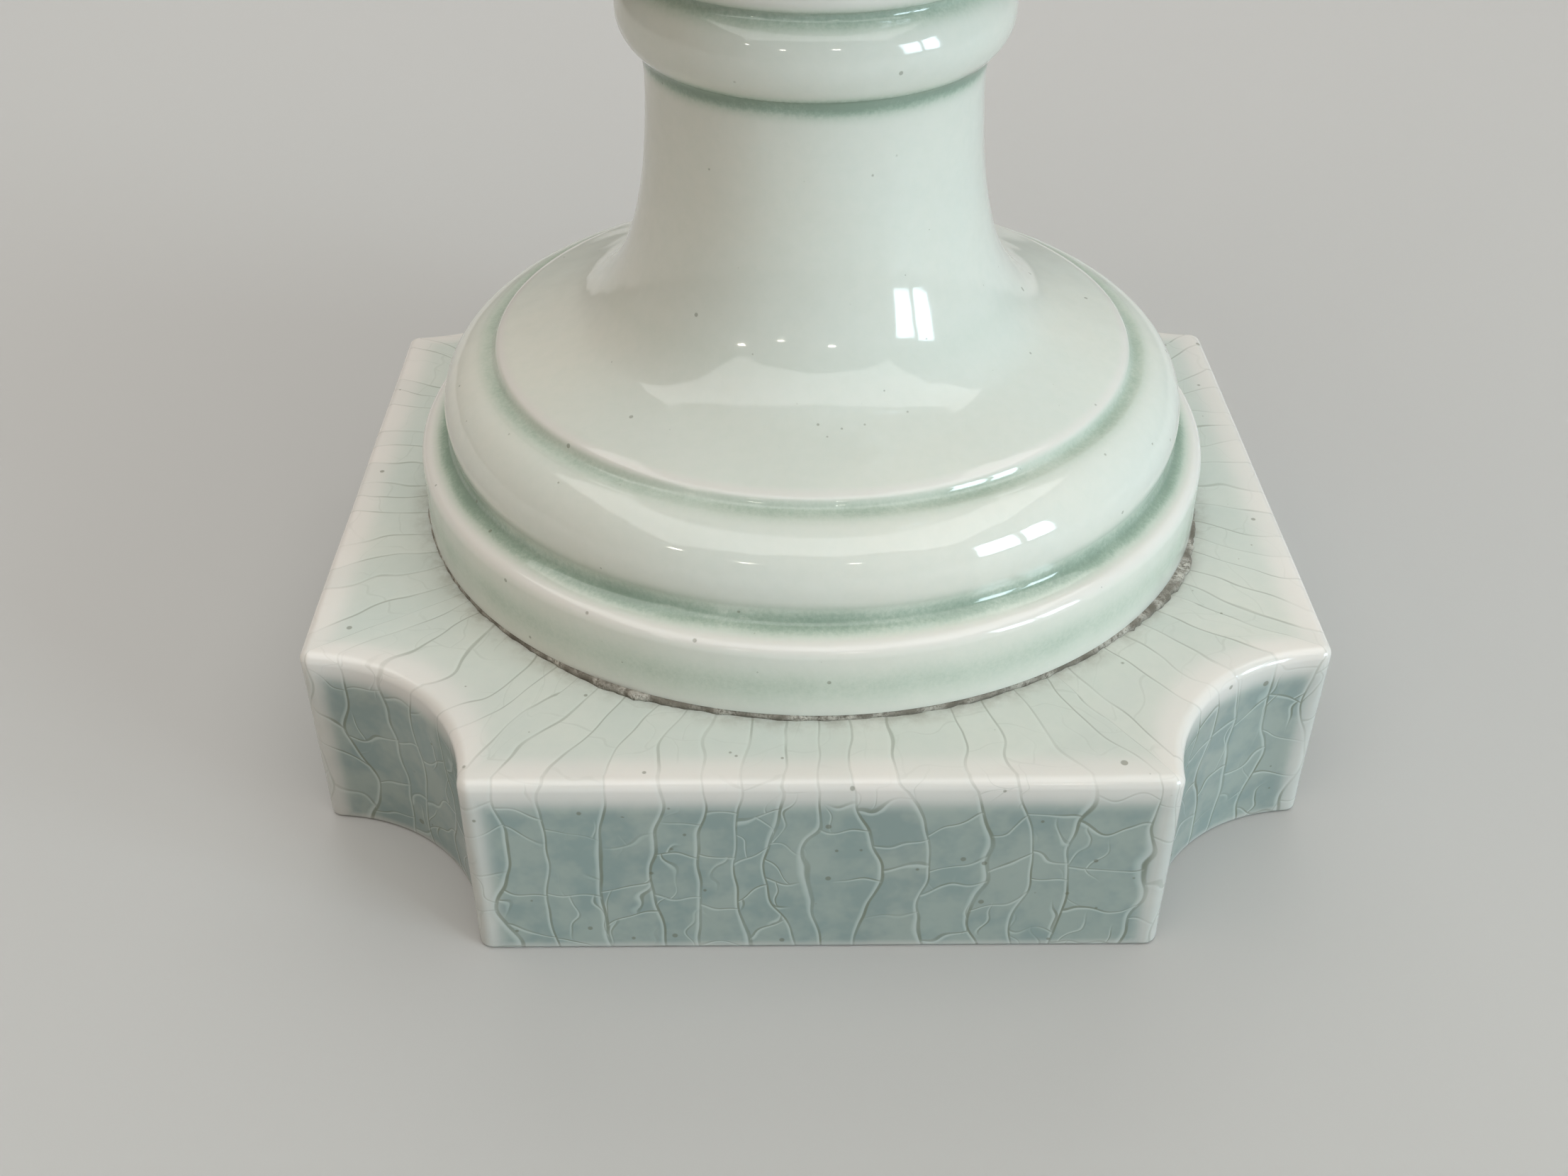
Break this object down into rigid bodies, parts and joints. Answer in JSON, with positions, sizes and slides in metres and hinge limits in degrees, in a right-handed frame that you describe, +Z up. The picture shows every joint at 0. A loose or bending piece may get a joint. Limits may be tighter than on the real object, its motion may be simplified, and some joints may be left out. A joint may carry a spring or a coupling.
{
  "type": "porcelain vase",
  "caption": "Celadon-glazed porcelain vase on a moulded round foot and a square plinth with hollowed corners.",
  "frame": {"origin": "middle of the plinth's underside, on the surface the vase stands on", "axes": "+Z up along the vase's axis, +X and +Y square to the plinth's sides, -Y towards the front"},
  "size_m": [0.1162, 0.1162, 0.26],
  "materials": {
    "foot_glaze": "gloss",
    "plinth_glaze": "gloss",
    "bedding": "matte",
    "cork": "matte",
    "brass": "satin",
    "steel": "satin"
  },
  "bodies": {
    "root": {"plinth": "plinth_glaze", "bedding_ring": "bedding", "pedestal_foot": "foot_glaze", "body_seat_gasket": "cork", "vase_bowl_lower": "foot_glaze", "vase_bowl_upper": "foot_glaze", "vase_neck": "foot_glaze", "bowl_gasket": "cork", "bowl_washer": "brass", "bowl_cap_nut": "brass", "plinth_gasket": "cork", "clamp_plate": "steel", "spring_washer": "steel", "clamp_nut": "steel", "tie_rod": "steel"}
  },
  "joints": []
}
